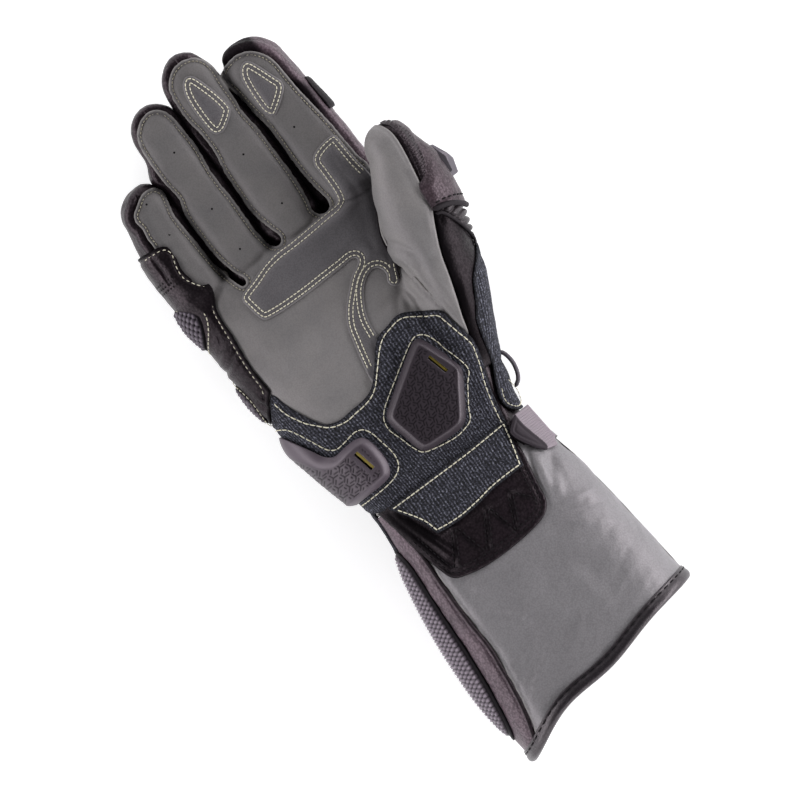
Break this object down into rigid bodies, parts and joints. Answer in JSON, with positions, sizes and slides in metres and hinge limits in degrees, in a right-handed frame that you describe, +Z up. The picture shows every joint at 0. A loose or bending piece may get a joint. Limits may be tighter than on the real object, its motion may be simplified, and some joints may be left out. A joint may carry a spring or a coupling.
{
  "type": "motorcycle glove",
  "caption": "Long leather racing gauntlet for the right hand, lying palm up, with palm sliders, a woven heel patch, a wrist flap and a wide open cuff.",
  "frame": {"origin": "middle of the glove's box on the surface that it lies on, under the palm", "axes": "+Z up out of the palm, +Y towards the fingertips, +X towards the thumb"},
  "size_m": [0.1444, 0.3539, 0.0575],
  "materials": {
    "grey_leather": "matte fine-grained goatskin",
    "cuff_leather": "matte, lightly creased",
    "black_leather": "satin, pebble grain",
    "woven_cloth": "coarse ribbed weave of navy and black yarn",
    "moulded_plastic": "satin moulded plastic",
    "olive_insert": "matte",
    "tab_rubber": "matte moulded tab",
    "loop_cord": "braided cord"
  },
  "bodies": {
    "root": {"palm_leather": "grey_leather", "thumb_leather": "grey_leather", "cuff_front": "cuff_leather", "grip_patch": "grey_leather", "index_tip_patch": "grey_leather", "middle_tip_patch": "grey_leather", "hand_back": "black_leather", "little_back": "black_leather", "ring_back": "black_leather", "middle_back": "black_leather", "index_back": "black_leather", "thumb_back": "black_leather", "cuff_side": "black_leather", "cuff_back": "black_leather", "cuff_binding": "black_leather", "side_panel": "black_leather", "flap_leather": "black_leather", "thumb_cover": "black_leather", "thumb_ribs": "black_leather", "wrist_strap": "black_leather", "heel_patch": "woven_cloth", "flap_cloth": "woven_cloth", "thumb_strip": "woven_cloth", "outer_slider": "moulded_plastic", "inner_slider": "moulded_plastic", "side_pad_upper": "moulded_plastic", "side_pad_lower": "moulded_plastic", "cuff_guard": "moulded_plastic", "thumb_guard": "moulded_plastic", "index_side_guard": "moulded_plastic", "outer_slot_insert": "olive_insert", "inner_slot_insert": "olive_insert", "strap_tab": "tab_rubber", "strap_loop": "loop_cord"}
  },
  "joints": []
}
